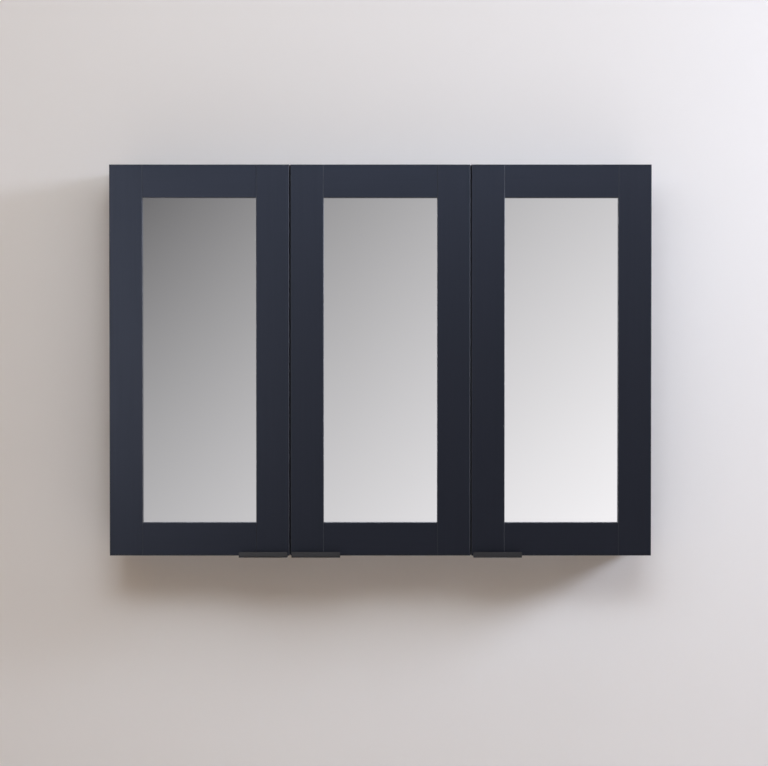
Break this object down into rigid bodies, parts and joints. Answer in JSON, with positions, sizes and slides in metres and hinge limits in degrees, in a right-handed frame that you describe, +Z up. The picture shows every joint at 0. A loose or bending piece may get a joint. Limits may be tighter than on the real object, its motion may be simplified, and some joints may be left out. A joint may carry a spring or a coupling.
{
  "type": "mirror cabinet",
  "caption": "Wall-hung cabinet with framed mirror doors on concealed cup hinges, folded edge pulls and glass shelves behind the doors.",
  "frame": {"origin": "middle of the four wall-screw holes, on the plane where the cabinet meets the wall", "axes": "+X to the right along the wall as seen from the front, +Y into the wall, +Z up"},
  "size_m": [0.9, 0.17, 0.6505],
  "materials": {
    "frame_lacquer": "satin blue-black lacquer",
    "carcass_lacquer": "satin blue-black lacquer",
    "back_board": "matt dark board",
    "beech": "plain beech",
    "mirror_silver": "polished",
    "shelf_glass": "clear",
    "hinge_nickel": "nickel plated",
    "pull_anodised": "black anodised",
    "bumper_rubber": "clear soft"
  },
  "bodies": {
    "cabinet": {"side_panel_left": "carcass_lacquer", "side_panel_right": "carcass_lacquer", "top_panel": "carcass_lacquer", "bottom_panel": "carcass_lacquer", "divider_panel": "carcass_lacquer", "back_panel": "back_board", "hanging_rail_top": "carcass_lacquer", "hanging_rail_bottom": "carcass_lacquer", "carcass_dowels": "beech", "shelf_wide_upper": "shelf_glass", "shelf_wide_lower": "shelf_glass", "shelf_narrow_upper": "shelf_glass", "shelf_narrow_lower": "shelf_glass", "shelf_pins": "hinge_nickel", "hinge_plates": "hinge_nickel", "hinge_arms": "hinge_nickel", "hinge_arm_pins": "hinge_nickel", "hinge_screws": "hinge_nickel", "door_bumpers": "bumper_rubber"},
    "outer_links_left": {"outer_links_left": "hinge_nickel"},
    "door_left": {"stile_hinge_left": "frame_lacquer", "stile_pull_left": "frame_lacquer", "rail_top_left": "frame_lacquer", "rail_bottom_left": "frame_lacquer", "mirror_left": "mirror_silver", "backing_left": "back_board", "glazing_beads_left": "frame_lacquer", "pull_left": "pull_anodised", "hinge_cups_left": "hinge_nickel", "hinge_cup_pins_left": "hinge_nickel", "door_screws_left": "hinge_nickel"},
    "inner_links_left": {"inner_links_left": "hinge_nickel"},
    "outer_links_middle": {"outer_links_middle": "hinge_nickel"},
    "door_middle": {"stile_hinge_middle": "frame_lacquer", "stile_pull_middle": "frame_lacquer", "rail_top_middle": "frame_lacquer", "rail_bottom_middle": "frame_lacquer", "mirror_middle": "mirror_silver", "backing_middle": "back_board", "glazing_beads_middle": "frame_lacquer", "pull_middle": "pull_anodised", "hinge_cups_middle": "hinge_nickel", "hinge_cup_pins_middle": "hinge_nickel", "door_screws_middle": "hinge_nickel"},
    "inner_links_middle": {"inner_links_middle": "hinge_nickel"},
    "outer_links_right": {"outer_links_right": "hinge_nickel"},
    "door_right": {"stile_hinge_right": "frame_lacquer", "stile_pull_right": "frame_lacquer", "rail_top_right": "frame_lacquer", "rail_bottom_right": "frame_lacquer", "mirror_right": "mirror_silver", "backing_right": "back_board", "glazing_beads_right": "frame_lacquer", "pull_right": "pull_anodised", "hinge_cups_right": "hinge_nickel", "hinge_cup_pins_right": "hinge_nickel", "door_screws_right": "hinge_nickel"},
    "inner_links_right": {"inner_links_right": "hinge_nickel"}
  },
  "joints": [
    {"name": "outer_link_left", "type": "hinge", "parent": "cabinet", "child": "outer_links_left", "pos_m": [-0.416, -0.122, 0], "axis": [0, 0, -1], "range_deg": [-34.5, 0]},
    {"name": "door_swing_left", "type": "hinge", "parent": "outer_links_left", "child": "door_left", "pos_m": [-0.4378, -0.1363, 0], "axis": [0, 0, -1], "range_deg": [0, 129.2]},
    {"name": "inner_link_left", "type": "hinge", "parent": "door_left", "child": "inner_links_left", "pos_m": [-0.441, -0.1342, 0], "axis": [0, 0, -1], "range_deg": [-125.5, 0]},
    {"name": "outer_link_middle", "type": "hinge", "parent": "cabinet", "child": "outer_links_middle", "pos_m": [0.116, -0.122, 0], "axis": [0, 0, 1], "range_deg": [-34.5, 0]},
    {"name": "door_swing_middle", "type": "hinge", "parent": "outer_links_middle", "child": "door_middle", "pos_m": [0.1378, -0.1363, 0], "axis": [0, 0, 1], "range_deg": [0, 129.2]},
    {"name": "inner_link_middle", "type": "hinge", "parent": "door_middle", "child": "inner_links_middle", "pos_m": [0.141, -0.1342, 0], "axis": [0, 0, 1], "range_deg": [-125.5, 0]},
    {"name": "outer_link_right", "type": "hinge", "parent": "cabinet", "child": "outer_links_right", "pos_m": [0.416, -0.122, 0], "axis": [0, 0, 1], "range_deg": [-34.5, 0]},
    {"name": "door_swing_right", "type": "hinge", "parent": "outer_links_right", "child": "door_right", "pos_m": [0.4378, -0.1363, 0], "axis": [0, 0, 1], "range_deg": [0, 129.2]},
    {"name": "inner_link_right", "type": "hinge", "parent": "door_right", "child": "inner_links_right", "pos_m": [0.441, -0.1342, 0], "axis": [0, 0, 1], "range_deg": [-125.5, 0]}
  ],
  "couplings": [
    {"joint": "outer_link_left", "follows": "door_swing_left", "ratio": -0.26471},
    {"joint": "inner_link_left", "follows": "door_swing_left", "ratio": -0.96912},
    {"joint": "outer_link_middle", "follows": "door_swing_middle", "ratio": -0.26471},
    {"joint": "inner_link_middle", "follows": "door_swing_middle", "ratio": -0.96912},
    {"joint": "outer_link_right", "follows": "door_swing_right", "ratio": -0.26471},
    {"joint": "inner_link_right", "follows": "door_swing_right", "ratio": -0.96912}
  ]
}
